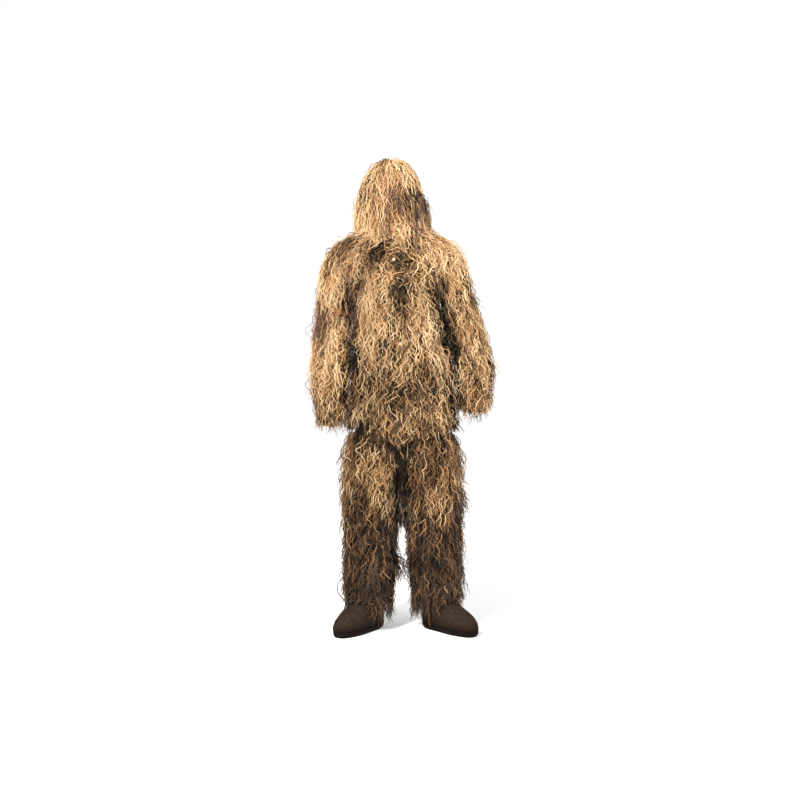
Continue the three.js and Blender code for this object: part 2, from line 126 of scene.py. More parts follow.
# Tones of yarn, light to dark, then the tones of the camouflage patches
LADDER = {
    "pale_straw": (244, 211, 165),
    "straw": (233, 194, 144),
    "light_tan": (220, 176, 126),
    "tan": (203, 155, 106),
    "sand": (181, 133, 88),
    "umber_light": (153, 115, 80),
    "umber": (124, 93, 66),
    "brown": (96, 74, 55),
    "dark_brown": (60, 48, 37),
    "near_black": (23, 20, 17),
}
PATCH_TONES = {
    "chestnut": (134, 91, 65),
    "mauve": (140, 111, 98),
    "mauve_dark": (96, 75, 67),
    "olive": (124, 110, 82),
    "olive_dark": (68, 60, 43),
    "charcoal": (30, 27, 23),
    "grey": (142, 129, 115),
    "smoke": (88, 75, 62),
}
TONES = {**LADDER, **PATCH_TONES}
TONE_NAMES = list(TONES)

# A family of tones: its middle step on the ladder, its spread in steps, its own tones' share and
# its own tones
FAMILIES = {
    "straw": (0.2, 2.6, 0.03, ("chestnut",)),
    "tan": (1.8, 2.8, 0.07, ("chestnut", "mauve")),
    "mixed": (3.8, 3.6, 0.12, ("chestnut", "olive_dark", "charcoal")),
    "umber": (5.6, 3.0, 0.14, ("chestnut", "olive", "charcoal")),
    "brown": (7.0, 2.1, 0.30, ("mauve_dark", "smoke", "smoke", "charcoal")),
    "mauve": (4.6, 2.0, 0.62, ("mauve", "mauve_dark", "mauve_dark")),
    "olive": (4.4, 3.2, 0.58, ("olive_dark", "charcoal", "charcoal", "olive")),
    "charcoal": (5.2, 3.2, 0.46, ("charcoal", "olive_dark", "charcoal", "olive")),
    "pitch": (8.4, 1.8, 0.60, ("charcoal", "charcoal", "olive_dark")),
    "grey": (7.0, 1.6, 0.66, ("grey", "mauve_dark", "charcoal")),
    "fringe": (7.3, 2.0, 0.46, ("smoke", "smoke", "charcoal", "mauve_dark")),
}
# Patches on the front: family, x, z, half width, half height
PATCHES = [
    ("straw", -0.10, 1.21, 0.055, 0.15),
    ("straw", 0.18, 1.40, 0.06, 0.08),
    ("mauve", 0.064, 1.615, 0.038, 0.065),
    ("charcoal", 0.034, 1.64, 0.016, 0.04),
    ("charcoal", -0.055, 1.44, 0.08, 0.055),
    ("charcoal", 0.002, 1.36, 0.034, 0.06),
    ("olive", 0.004, 1.25, 0.042, 0.13),
    ("olive", 0.008, 1.12, 0.026, 0.09),
    ("charcoal", -0.045, 0.99, 0.034, 0.07),
    ("olive", -0.045, 0.95, 0.04, 0.10),
    ("mauve", -0.185, 1.28, 0.022, 0.12),
    # The four pitch patches below, down the gap between the right sleeve and the jacket, are partly dark
    # yarn and partly painted shade.
    ("pitch", -0.226, 1.27, 0.013, 0.06),
    ("pitch", -0.198, 1.17, 0.015, 0.08),
    ("pitch", -0.18, 1.05, 0.016, 0.08),
    ("pitch", -0.158, 0.93, 0.014, 0.07),
    ("pitch", -0.064, 1.095, 0.011, 0.024),
    ("pitch", 0.004, 1.06, 0.011, 0.032),
    ("mauve", -0.312, 1.17, 0.036, 0.085),
    ("olive", 0.118, 1.31, 0.026, 0.055),
    ("charcoal", 0.14, 1.25, 0.026, 0.06),
    ("olive", 0.17, 1.17, 0.034, 0.11),
    ("pitch", 0.205, 1.04, 0.026, 0.065),
    ("pitch", 0.23, 0.91, 0.014, 0.055),
    ("pitch", -0.15, 0.77, 0.03, 0.07),
    ("pitch", -0.004, 0.60, 0.05, 0.12),
    ("grey", -0.004, 0.43, 0.046, 0.09),
    ("charcoal", -0.166, 0.60, 0.016, 0.13),
    ("brown", 0.075, 0.69, 0.055, 0.05),
    ("umber", 0.11, 0.62, 0.085, 0.11),
    ("grey", 0.225, 0.47, 0.034, 0.07),
    ("umber", 0.04, 0.93, 0.06, 0.05),
    ("mixed", -0.08, 0.64, 0.05, 0.13),
    ("mixed", 0.12, 0.52, 0.06, 0.06),
]


# ---------- camera
CAMERA_PLACE = (0.0, -4.30, 1.00)
CAMERA_AIM = (-0.008, 0.0, 0.897)
CAMERA_VIEW = math.radians(39.9)


def aimed(name, data, place, aim):
    """An object at a place, turned to look at its aim."""
    made = bpy.data.objects.new(name, data)
    made.location = place
    made.rotation_euler = (Vector(aim) - Vector(place)).to_track_quat("-Z", "Y").to_euler()
    bpy.context.collection.objects.link(made)
    return made


def camera():
    data = bpy.data.cameras.new("camera")
    data.sensor_fit = "HORIZONTAL"
    data.angle = CAMERA_VIEW
    bpy.context.scene.camera = aimed("camera", data, CAMERA_PLACE, CAMERA_AIM)


camera()


# ---------- meshes
def mesh_object(name, points, sizes, corners, materials, slots=None):
    """A smooth mesh from its points, each face's number of corners and all the corners in order."""
    mesh = bpy.data.meshes.new(name)
    mesh.vertices.add(len(points))
    mesh.vertices.foreach_set("co", np.asarray(points, np.float32).ravel())
    mesh.loops.add(len(corners))
    mesh.loops.foreach_set("vertex_index", np.asarray(corners, np.int32))
    mesh.polygons.add(len(sizes))
    starts = np.concatenate([[0], np.cumsum(sizes)[:-1]])
    mesh.polygons.foreach_set("loop_start", starts.astype(np.int32))
    mesh.polygons.foreach_set("use_smooth", np.ones(len(sizes), bool))
    for material in materials:
        mesh.materials.append(material)
    if slots is not None:
        mesh.polygons.foreach_set("material_index", np.asarray(slots, np.int32))
    mesh.update(calc_edges=True)
    made = bpy.data.objects.new(name, mesh)
    bpy.context.collection.objects.link(made)
    return made


def quads_between(rows, count, across):
    """The corners of the faces between rings of points, so many faces across."""
    row, k = np.meshgrid(np.arange(rows - 1), np.arange(across), indexing="ij")
    after = (k + 1) % count
    upper, lower = row * count, (row + 1) * count
    return np.stack([upper + k, upper + after, lower + after, lower + k], -1).reshape(-1, 4)


def loft(name, rings, material, closed=True, skip=None, caps=(False, False)):
    """A skin through rings of points, all of one count. skip leaves out the faces it is true for."""
    rings = np.asarray(rings, float)
    rows, count = rings.shape[:2]
    faces = quads_between(rows, count, count if closed else count - 1)
    points = rings.reshape(-1, 3)
    if skip is not None:
        faces = faces[~skip(points[faces].mean(1))]
    sizes, corners = [4] * len(faces), list(faces.ravel())
    for wanted, first in zip(caps, (0, (rows - 1) * count)):
        if wanted:
            sizes.append(count)
            corners.extend(range(first, first + count))
    return mesh_object(name, points, sizes, corners, [material])


def smooth_path(points, count):
    """Points along a Catmull-Rom curve through the given ones."""
    points = np.asarray(points, float)
    padded = np.vstack([2 * points[0] - points[1], points, 2 * points[-1] - points[-2]])
    at = np.linspace(0, len(points) - 1 - 1e-9, count)
    k = at.astype(int)
    t = (at - k)[:, None]
    a, b, c, d = (padded[k + i] for i in range(4))
    square = (2 * a - 5 * b + 4 * c - d) * t ** 2
    cube = (3 * b - a - 3 * c + d) * t ** 3
    return 0.5 * (2 * b + (c - a) * t + square + cube)


PLY_RELIEF = 0.12           # how far a cord's plies stand out, as a share of its radius


def tube(name, path, radius, material, sides=10, plies=0, turns=0):
    """A round tube along a path. plies above 0 gives it that many twisted ridges."""
    path = np.asarray(path, float)
    along = np.gradient(path, axis=0)
    along /= np.linalg.norm(along, axis=1)[:, None]
    side = np.cross(along, (0.13, 0.21, 0.97))
    side /= np.linalg.norm(side, axis=1)[:, None]
    up = np.cross(side, along)
    turn = np.linspace(0, FULL_TURN, sides, endpoint=False)
    twist = np.linspace(0, FULL_TURN * turns, len(path))[:, None]
    reach = radius * (1 + PLY_RELIEF * np.cos(plies * turn[None, :] + twist) * (plies > 0))
    rings = path[:, None] + reach[..., None] * (
        np.cos(turn)[None, :, None] * side[:, None] + np.sin(turn)[None, :, None] * up[:, None])
    return loft(name, rings, material, caps=(True, True))


# ---------- materials
def linear(colour, gain=1.0):
    """A screen colour of three bytes as a linear one, with its opacity."""
    parts = [c / 255 for c in colour]
    light = [p / 12.92 if p <= 0.04045 else ((p + 0.055) / 1.055) ** 2.4 for p in parts]
    return tuple(gain * p for p in light) + (1.0,)


def plain_material(name, colour, roughness, shine=0.1, metallic=0.0, gain=1.0):
    material = bpy.data.materials.new(name)
    material.use_nodes = True
    shader = material.node_tree.nodes["Principled BSDF"]
    shader.inputs["Base Color"].default_value = linear(colour, gain)
    shader.inputs["Roughness"].default_value = roughness
    shader.inputs["Metallic"].default_value = metallic
    shader.inputs["Specular IOR Level"].default_value = shine
    material.diffuse_color = linear(colour, gain)
    return material


def shader_node(material, kind, **inputs):
    """A shader node, with each input linked to a socket or set to a value."""
    tree = material.node_tree
    made = tree.nodes.new(kind)
    for name, value in inputs.items():
        socket = made.inputs[name.replace("_", " ")]
        if isinstance(value, bpy.types.NodeSocket):
            tree.links.new(value, socket)
        else:
            socket.default_value = value
    return made


def patterned_material(name, dark, light, roughness, pattern, scale, bump, metallic=0.0, stretch=(1, 1, 1),
                       darker_below=None):
    """Two tones mixed by a noise or wave pattern in the piece's own coordinates, with its relief.

    Its last argument is a darker tone that takes over towards the ground, and the heights between which it
    does."""
    material = plain_material(name, light, roughness, shine=0.5 if metallic else 0.1, metallic=metallic)
    place = shader_node(material, "ShaderNodeTexCoord").outputs["Object"]
    mapping = shader_node(material, "ShaderNodeMapping", Vector=place, Scale=stretch)
    texture = shader_node(material, pattern, Vector=mapping.outputs["Vector"], Scale=scale)
    value = texture.outputs["Fac"] if "Fac" in texture.outputs else texture.outputs[0]
    ramp = shader_node(material, "ShaderNodeValToRGB", Fac=value)
    for stop, position, tone in zip(ramp.color_ramp.elements, (0.35, 0.65), (dark, light)):
        stop.position = position
        stop.color = linear(tone)
    colour = ramp.outputs["Color"]
    if darker_below:
        tone, low, high = darker_below
        height = shader_node(material, "ShaderNodeSeparateXYZ", Vector=place).outputs["Z"]
        rise = shader_node(material, "ShaderNodeMapRange", Value=height, From_Min=low, From_Max=high)
        darkened = shader_node(material, "ShaderNodeMixRGB", Fac=rise.outputs["Result"],
                              Color1=linear(tone), Color2=colour)
        colour = darkened.outputs["Color"]
    relief = shader_node(material, "ShaderNodeBump", Strength=bump, Distance=RELIEF, Height=value)
    shader = material.node_tree.nodes["Principled BSDF"]
    material.node_tree.links.new(colour, shader.inputs["Base Color"])
    material.node_tree.links.new(relief.outputs["Normal"], shader.inputs["Normal"])
    return material


RELIEF = 0.001              # how high a pattern's bumps are
NOISE, WAVES, CELLS = "ShaderNodeTexNoise", "ShaderNodeTexWave", "ShaderNodeTexVoronoi"
YARN = [plain_material(f"yarn_{name}", TONES[name], 0.9, gain=TONE_GAIN) for name in TONE_NAMES]
# The netting is dark brown, partly its own colour and partly painted shade in the gaps between the locks.
NETTING = patterned_material("netting_cloth", (30, 22, 15), (62, 46, 32), 0.95, CELLS, 260, 0.9)
WEBBING = patterned_material("elastic_webbing", (34, 28, 22), (58, 48, 38), 0.8, WAVES, 160, 0.8,
                             stretch=(0, 0, 1))
TAPE = patterned_material("placket_tape", (52, 40, 28), (78, 60, 42), 0.85, NOISE, 300, 0.5)
SNAP = patterned_material("snap_brass", (190, 168, 130), (226, 208, 176), 0.3, NOISE, 60, 0.1,
                          metallic=0.7)
# The suede is darker towards the ground.
SUEDE = patterned_material("boot_suede", (31, 24, 18), (43, 33, 25), 0.95, NOISE, 70, 0.4,
                           darker_below=((17, 8, 5), 0.022, 0.058))
SUEDE_EDGE = patterned_material("boot_welt", (12, 6, 4), (20, 11, 8), 0.9, NOISE, 160, 0.3)
RUBBER = patterned_material("boot_rubber", (10, 4, 3), (17, 8, 6), 0.9, NOISE, 120, 0.3)
FELT = patterned_material("insole_felt", (70, 60, 50), (96, 84, 70), 1.0, NOISE, 240, 0.4)
CORD = patterned_material("tie_cord", (24, 18, 14), (54, 42, 33), 0.8, NOISE, 220, 0.4)


def finish_piece(piece, nodes, rides):
    """Hides the CAD nodes a piece stands for, and attaches the piece to the body it moves with. Where it is
    given two bodies and a stretch instead, its placement is only baked in and it is attached to no body."""
    if isinstance(rides, str):
        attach(piece, rides)
    else:
        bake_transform(piece)
    if nodes:
        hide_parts(*nodes)


# ---------- ankle tie
# The tie's route: out of the yarn, round in a slack loop and down onto the boot
TIE = [
    (-0.226, -0.082, 0.216), (-0.236, -0.086, 0.208), (-0.244, -0.090, 0.197), (-0.248, -0.094, 0.184),
    (-0.247, -0.098, 0.170), (-0.242, -0.102, 0.157), (-0.233, -0.106, 0.146), (-0.223, -0.110, 0.137),
    (-0.215, -0.114, 0.129), (-0.212, -0.119, 0.120), (-0.215, -0.125, 0.111), (-0.222, -0.131, 0.102),
    (-0.230, -0.137, 0.093), (-0.238, -0.143, 0.084), (-0.244, -0.148, 0.076), (-0.248, -0.151, 0.069),
]
TIE_DIAMETER = 0.004
KNOT_RADIUS = 0.0044


def ball(name, centre, radius, material, lumps=0.0):
    """A ball of rings, with lumps as a share of its radius."""
    rings = []
    turn = np.linspace(0, FULL_TURN, 20, endpoint=False)
    for tilt in np.linspace(0.02, math.pi - 0.02, 14):
        reach = radius * (1 + lumps * np.sin(3 * turn + 4 * tilt))
        rings.append(np.stack([
            centre[0] + reach * math.sin(tilt) * np.cos(turn),
            centre[1] + reach * math.sin(tilt) * np.sin(turn),
            centre[2] + radius * math.cos(tilt) + 0 * turn], -1))
    return loft(name, rings, material, caps=(True, True))


def ankle_tie():
    path = smooth_path(TIE, 90)
    cord = tube("tie_cord", path, TIE_DIAMETER / 2, CORD, plies=2, turns=22)
    knot = ball("tie_knot", np.mean(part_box("ankle_tie_knot"), axis=0), KNOT_RADIUS, CORD, lumps=0.12)
    finish_piece(cord, ["ankle_tie_cord"], "right_shin")
    finish_piece(knot, ["ankle_tie_knot"], "right_shin")


ankle_tie()


# ---------- the frame's ovals
WHOLE_RING = 22             # a ring that a cut has opened has fewer corners
STRAIGHT_UP = 0.08          # how far a leg's surface goes straight on above its topmost ring


def ovals(*names, centre_y=None, straight_up=False):
    """Rows of height, centre x, centre y, half width and half depth, from the rings of CAD nodes.

    centre_y is given where the front is cut away, so that the back alone gives the depth.
    straight_up carries the topmost whole ring on above the nodes' top."""
    corners = [corner.co[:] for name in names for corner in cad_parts[name].data.vertices]
    points = np.unique(np.round(corners, 4), axis=0)
    rows = []
    for z in np.unique(points[:, 2])[::-1]:
        ring = points[points[:, 2] == z]
        if len(ring) >= WHOLE_RING:
            low, high = ring.min(0), ring.max(0)
            middle = (low[1] + high[1]) / 2 if centre_y is None else centre_y
            rows.append((z, (low[0] + high[0]) / 2, middle, (high[0] - low[0]) / 2, high[1] - middle))
    if straight_up:
        rows.insert(0, (points[:, 2].max() + STRAIGHT_UP, *rows[0][1:]))
    return rows


class Drape:
    """A cloth surface as a stack of ovals, walked downwards by the distance s from its top."""

    HANG = 0.40             # how far the surface goes straight on below its last oval
    REACH = 5               # how many samples either side a corner is rounded over

    def __init__(self, rows, closed_top=False, roundness=1.0):
        rows = np.array(rows, float)
        if closed_top:
            tip = rows[0].copy()
            tip[0] += 0.002
            tip[3:] = 0.0005
            rows = np.vstack([tip, rows])
        end = rows[-1].copy()
        end[0] -= self.HANG
        rows = np.vstack([rows, end])
        corners = np.concatenate([[0], np.cumsum(np.hypot(np.diff(rows[:, 0]), np.diff(rows[:, 3])))])
        self.roundness = roundness
        self.s = np.linspace(0, corners[-1], 240)
        self.rows = self.smoothed(np.stack([np.interp(self.s, corners, column) for column in rows.T]))
        heights, half_widths = self.rows[0], self.rows[3]
        slope = self.smoothed(np.stack([np.gradient(heights, self.s), np.gradient(half_widths, self.s)]))
        slope /= np.hypot(*slope)
        self.out, self.up = -slope[0], slope[1]

    def smoothed(self, rows):
        window = np.hanning(2 * self.REACH + 3)[1:-1]
        edges = np.pad(rows, ((0, 0), (self.REACH, self.REACH)), mode="reflect", reflect_type="odd")
        return np.stack([np.convolve(row, window / window.sum(), "valid") for row in edges])

    def s_at(self, z):
        return np.interp(-np.asarray(z, float), -self.rows[0], self.s)

    def span(self, top, bottom):
        return float(self.s_at(top)), float(self.s_at(bottom))

    def oval(self, s):
        return [np.interp(s, self.s, column) for column in self.rows]

    def girth(self, s):
        _, _, _, half_width, half_depth = self.oval(s)
        return FULL_TURN * np.sqrt((half_width ** 2 + half_depth ** 2) / 2)

    def point(self, s, angle, lift):
        """Points lifted off the surface."""
        z, x, y, half_width, half_depth = self.oval(s)
        out = np.interp(s, self.s, self.out) * lift
        sine = np.sign(np.sin(angle)) * np.abs(np.sin(angle)) ** self.roundness
        cosine = np.sign(np.cos(angle)) * np.abs(np.cos(angle)) ** self.roundness
        height = z + np.interp(s, self.s, self.up) * lift
        return np.stack([x + (half_width + out) * sine, y - (half_depth + out) * cosine, height], axis=-1)


# Where the hood's and the yoke's yarn spreads over the shoulders, in the same columns
CAPE_ROWS = [
    (1.660, -0.038, -0.004, 0.108, 0.116),
    (1.605, -0.035, -0.004, 0.120, 0.119),
    (1.575, -0.033, -0.003, 0.123, 0.118),
    (1.544, -0.030, -0.002, 0.123, 0.115),
    (1.513, -0.029, 0.000, 0.161, 0.111),
    (1.482, -0.029, 0.001, 0.214, 0.110),
    (1.450, -0.027, 0.002, 0.240, 0.111),
    (1.400, -0.024, 0.003, 0.256, 0.113),
    (1.340, -0.020, 0.003, 0.262, 0.116),
]
# The netting between the collar and the sleeves, in the same columns
SHOULDER_ROWS = [
    (1.5020, -0.031, 0.008, 0.084, 0.080),
    (1.5080, -0.030, 0.005, 0.110, 0.094),
    (1.5020, -0.029, 0.002, 0.148, 0.102),
    (1.4780, -0.029, 0.001, 0.182, 0.106),
    (1.4500, -0.029, 0.001, 0.190, 0.108),
]
TORSO = Drape(ovals("jacket_netting"))
CAPE = Drape(CAPE_ROWS, roundness=0.85)
HOOD = Drape(ovals("hood_netting", centre_y=-0.004), closed_top=True)
SEAT = Drape(ovals("trousers_netting_seat"))
SLEEVE = {
    side: Drape(ovals(f"{side}_sleeve_netting_upper", f"{side}_sleeve_netting_lower"), closed_top=True)
    for side in SIDES
}
LEG = {
    side: Drape(ovals(f"{side}_leg_netting_thigh", f"{side}_leg_netting_shin", straight_up=True))
    for side in SIDES
}


# ---------- yarn
def patch_field(points, size, seed):
    """Smooth noise at points, from about -1 to 1, with patches of about that size."""
    shift = Vector((seed * 7.3, seed * 3.1, seed * 5.7))
    return np.array([noise.noise(Vector(point) / size + shift) for point in points]) * 1.6


# The heights where the yarn's tones change
WAIST, KNEE, CUFF = 0.76, 0.42, 0.25


def families(points):
    """The family of tones of each lock, from where on the suit it hangs."""
    names = list(FAMILIES)
    coarse = patch_field(points * (1, 1, 0.55), 0.085, 1)
    fine = patch_field(points * (1, 1, 0.5), 0.035, 2)
    height = points[:, 2]

    def pick(rules, otherwise):
        """The first family whose rule holds at each point."""
        tests, picked = zip(*rules)
        return np.select(tests, [names.index(name) for name in picked], names.index(otherwise))

    chosen = pick([
        # Painted shade: the hood's top takes the darker tan family, to temper the strong light on the
        # crown.
        (height > 1.77, "tan"),
        (height > 1.69, "straw"),
        (coarse > 0.75, "olive"),
        (coarse < -0.80, "mauve"),
        (fine > 0.70, "umber"),
        (height + 0.08 * fine < 0.95, "mixed"),
        (fine < -0.25, "tan"),
    ], "straw")
    legs = pick([(coarse > 0.75, "brown"), (fine > 0.2, "mixed")], "umber")
    shins = pick([(fine > 0.75, "umber")], "brown")
    chosen = np.where(height < WAIST, legs, chosen)
    chosen = np.where(height + 0.06 * fine < KNEE, shins, chosen)
    chosen = np.where(height + 0.05 * coarse < CUFF, names.index("fringe"), chosen)
    ragged = 1 + 0.35 * fine
    for family, x, z, half_width, half_height in PATCHES:
        inside = ((points[:, 0] - x) / half_width) ** 2 + ((points[:, 2] - z) / half_height) ** 2 < ragged
        chosen[inside & (points[:, 1] < 0.02)] = names.index(family)
    return chosen


def strand_tones(rng, family, shade):
    """A tone for each strand segment. shade is how many steps darker each one is on the ladder."""
    table = list(FAMILIES.values())
    middle, spread, share = np.array([row[:3] for row in table])[family].T
    step = middle + spread * rng.normal(size=len(family))
    ladder = np.clip(np.round(step[:, None] + shade), 0, len(LADDER) - 1).astype(int)
    own = np.array([TONE_NAMES.index(table[f][3][rng.integers(len(table[f][3]))]) for f in family])
    return np.where((rng.uniform(size=len(family)) < share)[:, None], own[:, None], ladder)


def knots(rng, drape, top, bottom, arc, crowding):
    """Where the tufts are tied: s and angle, in staggered rows between two heights."""
    found = []
    first, last = drape.span(top, bottom)
    rows = max(1, round((last - first) / ROW_GAP))
    for row, s in enumerate(np.linspace(first, last, rows, endpoint=False)):
        count = max(FEWEST_TUFTS, round(float(drape.girth(s)) * crowding / TUFT_GAP))
        angle = (np.arange(count) + 0.5 * (row % 2) + rng.uniform(-0.3, 0.3, count)) * FULL_TURN / count
        angle = (angle - arc[0]) % FULL_TURN + arc[0]
        jitter = s + rng.uniform(-0.4, 0.4, count) * ROW_GAP
        found.append(np.stack([jitter, angle], -1)[angle < arc[1]])
    return np.vstack(found).T


def wander(rng, shape, memory):
    """Headings along a line that drift at random, each keeping a share of the last."""
    steps = rng.normal(0, math.sqrt(1 - memory ** 2), shape)
    steps[..., 0] = rng.normal(0, 1, shape[:-1])
    for ring in range(1, shape[-1]):
        steps[..., ring] += memory * steps[..., ring - 1]
    return steps


def eased(paths):
    """The same lines with the corners between their segments rounded off."""
    soft = paths.copy()
    soft[..., 1:-1, :] = 0.15 * paths[..., :-2, :] + 0.70 * paths[..., 1:-1, :] + 0.15 * paths[..., 2:, :]
    return soft


def walk(headings, step, pull):
    """How far aside a line is after each step, always drawn back a little to its middle."""
    aside = np.zeros(headings.shape)
    for ring in range(1, headings.shape[-1]):
        aside[..., ring] = (1 - pull) * aside[..., ring - 1] + headings[..., ring - 1] * step[..., 0]
    return aside


def strand_paths(rng, drape, s, angle, length, depth, lean, root_lift, wildness):
    """Centrelines of the strands of every tuft, as tufts times strands by rings by 3."""
    t = np.linspace(0, 1, RINGS)[None, None, :]
    shape = (len(s), STRANDS, 1)
    rings = (len(s), STRANDS, RINGS)
    fly = rng.uniform(size=shape) < FLYAWAY_SHARE
    step = length[:, None, None] * rng.uniform(0.80, 1.15, shape) / (RINGS - 1)
    wild = wildness * rng.uniform(0.5, 1.4, shape) * np.where(fly, FLYAWAY_WILDNESS, 1)
    headings = wander(rng, rings, STRAND_MEMORY) * STRAND_WANDER * wild
    headings = headings + wander(rng, (len(s), 1, RINGS), LOCK_MEMORY) * LOCK_WANDER * wildness
    headings = STEEPEST * np.tanh((headings + lean[:, None, None]) / STEEPEST)
    bulge = 2.2 * t * np.exp(-1.2 * t)
    aside = walk(np.sin(headings), step, STRAND_PULL) + LOCK_SPREAD * rng.normal(0, 0.8, shape) * bulge
    downward = np.cumsum(np.cos(headings) * step, axis=2)
    walked = np.concatenate([np.zeros(shape), downward[..., :-1]], axis=2)
    stand = depth[:, None, None] * rng.uniform(0.30, 1.0, shape) + np.where(fly, FLYAWAY_LIFT, 0)
    ripple = walk(wander(rng, rings, RIPPLE_MEMORY) * RIPPLE * wild, step, RIPPLE_PULL)
    lift = np.maximum(0.001, root_lift + stand * t ** 0.6 + ripple * np.minimum(1, 4 * t))
    where = s[:, None, None] + walked
    _, _, _, half_width, half_depth = drape.oval(where)
    turned = angle[:, None, None] + aside / np.maximum(0.035, (half_width + half_depth) / 2 + lift)
    paths = eased(drape.point(where, turned, lift))
    paths[..., 2] = np.maximum(paths[..., 2], FLOOR_CLEARANCE + 0.002 * (1 + wild))
    share = np.broadcast_to(stand[..., 0] / YARN_DEPTH, rings[:2])
    return paths.reshape(-1, RINGS, 3), turned.reshape(-1, RINGS), share.reshape(-1)


# A strand's thickness from root to tip, as shares of its length and of its radius
TAPER = ((0, 0.12, 0.8, 1), (0.6, 1, 0.9, 0.45))


def strand_mesh(name, paths, turned, radius, tones):
    """Three-sided tubes along the paths, with a tone for each segment of each strand."""
    along = np.gradient(paths, axis=1)
    along /= np.linalg.norm(along, axis=2)[..., None] + 1e-9
    outward = np.stack([np.sin(turned), -np.cos(turned), np.zeros_like(turned)], -1)
    side = np.cross(along, outward)
    side /= np.linalg.norm(side, axis=2)[..., None] + 1e-9
    up = np.cross(side, along)
    reach = radius[:, None] * np.interp(np.linspace(0, 1, RINGS), *TAPER)[None]
    corner = np.arange(3) * FULL_TURN / 3
    points = paths[:, :, None] + reach[..., None, None] * (
        np.cos(corner)[:, None] * side[:, :, None] + np.sin(corner)[:, None] * up[:, :, None])
    whole = RINGS * 3
    first = (np.arange(len(paths)) * whole)[:, None]
    quads = (quads_between(RINGS, 3, 3).reshape(1, -1) + first).ravel()
    ends = (np.array([2, 1, 0, whole - 3, whole - 2, whole - 1])[None] + first).ravel()
    sizes = np.concatenate([np.full(len(quads) // 4, 4), np.full(len(ends) // 3, 3)])
    slots = np.concatenate([np.repeat(tones[:, :, None], 3, axis=2).ravel(), np.repeat(tones[:, 0], 2)])
    used, slots = np.unique(slots, return_inverse=True)
    corners = np.concatenate([quads, ends])
    return mesh_object(name, points.reshape(-1, 3), sizes, corners, [YARN[i] for i in used], slots)


SNAP_PLACE = np.mean(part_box("jacket_snap_1"), axis=0)
SNAP_CLEARING = 0.007       # the yarn is parted round the top snap by this much


def clear_of_snap(paths):
    """True for the strands that don't hang in front of the top snap."""
    near = np.hypot(paths[..., 0] - SNAP_PLACE[0], paths[..., 2] - SNAP_PLACE[2]) < SNAP_CLEARING
    return ~(near & (paths[..., 1] < 0)).any(axis=1)


ROOM_LOW, ROOM_HIGH = (np.array(corner) for corner in CAD_BOX)
ROOM_SPARE = 0.03 * (ROOM_HIGH - ROOM_LOW) + 0.006      # how far yarn may stand out of that box


def inside_room(paths):
    """True for the strands that stay in the frame's box and the spare round it."""
    return ((paths > ROOM_LOW - ROOM_SPARE) & (paths < ROOM_HIGH + ROOM_SPARE)).all(axis=(1, 2))


def grow(name, drape, top, bottom, arc=ALL_ROUND, ends=None, length=YARN_LENGTH, depth=YARN_DEPTH,
         lean=0.0, crowding=1.0, root_lift=0.002, wildness=1.0, root_dusk=ROOT_DUSK, dusk=None):
    """A piece of yarn: tufts in rows from top to bottom, none of it hanging much lower than ends.

    ends and depth may be functions of the angle round the drape. dusk is one that says how many steps of
    painted shade darken the yarn there, and root_dusk is a number of steps of painted shade on the strands'
    roots."""
    rng = np.random.default_rng([SEED, sum(name.encode())])
    s, angle = knots(rng, drape, top, bottom, arc, crowding)
    reach = rng.uniform(*length, len(s))
    if ends is not None:
        lowest = ends(angle) if callable(ends) else ends
        room = drape.oval(s)[0] - lowest + rng.uniform(-ENDS_JITTER, ENDS_JITTER, len(s))
        reach = np.clip(reach, SHORTEST[0], np.maximum(SHORTEST[1], room))
    tilt = lean + rng.normal(0, LEAN_SPREAD, len(s))
    stand = (depth(angle) if callable(depth) else depth) * rng.uniform(0.45, 1.05, len(s))
    paths, turned, share = strand_paths(rng, drape, s, angle, reach, stand, tilt, root_lift, wildness)
    family = np.repeat(families(drape.point(s + 0.55 * reach, angle, 0.02)), STRANDS)
    lock_shade = np.repeat(rng.normal(0, LOCK_CONTRAST, len(s)), STRANDS)
    t = (np.arange(RINGS - 1) + 0.5) / (RINGS - 1)
    # Painted shade and light: strands deep in the pile and the roots are painted darker, and the tips
    # lighter, on top of each lock's own random tone.
    buried = np.clip(1 - share, 0, 1)[:, None] ** 2
    shade = lock_shade[:, None] + BURIED_DUSK * buried + root_dusk * (t < ROOTS) - TIP_SHINE * (t > TIPS)
    if dusk:
        shade = shade + np.repeat(dusk(angle), STRANDS)[:, None]
    tones = strand_tones(rng, family, shade)
    radius = YARN_RADIUS * rng.uniform(0.7, 1.25, len(paths))
    kept = clear_of_snap(paths) & inside_room(paths)
    return strand_mesh(name, paths[kept], turned[kept], radius[kept], tones[kept])


def lay_yarn(name, slot, nodes, rides, *place, **growth):
    """A piece of yarn that stands for its CAD nodes."""
    finish_piece(grow(name, *place, **growth), nodes, rides)


def fold(side, upper, lower, x, top, bottom):
    """Two bodies and the stretch between them, for a piece that crosses a fold."""
    x = SIDES[side] * x
    return f"{side}_{upper}", f"{side}_{lower}", (x, 0, top), (x, 0, bottom)


def elbow(side):
    return fold(side, "upper_sleeve", "lower_sleeve", 0.27, 1.190, 1.070)


def knee(side):
    return fold(side, "thigh", "shin", 0.12, 0.540, 0.420)


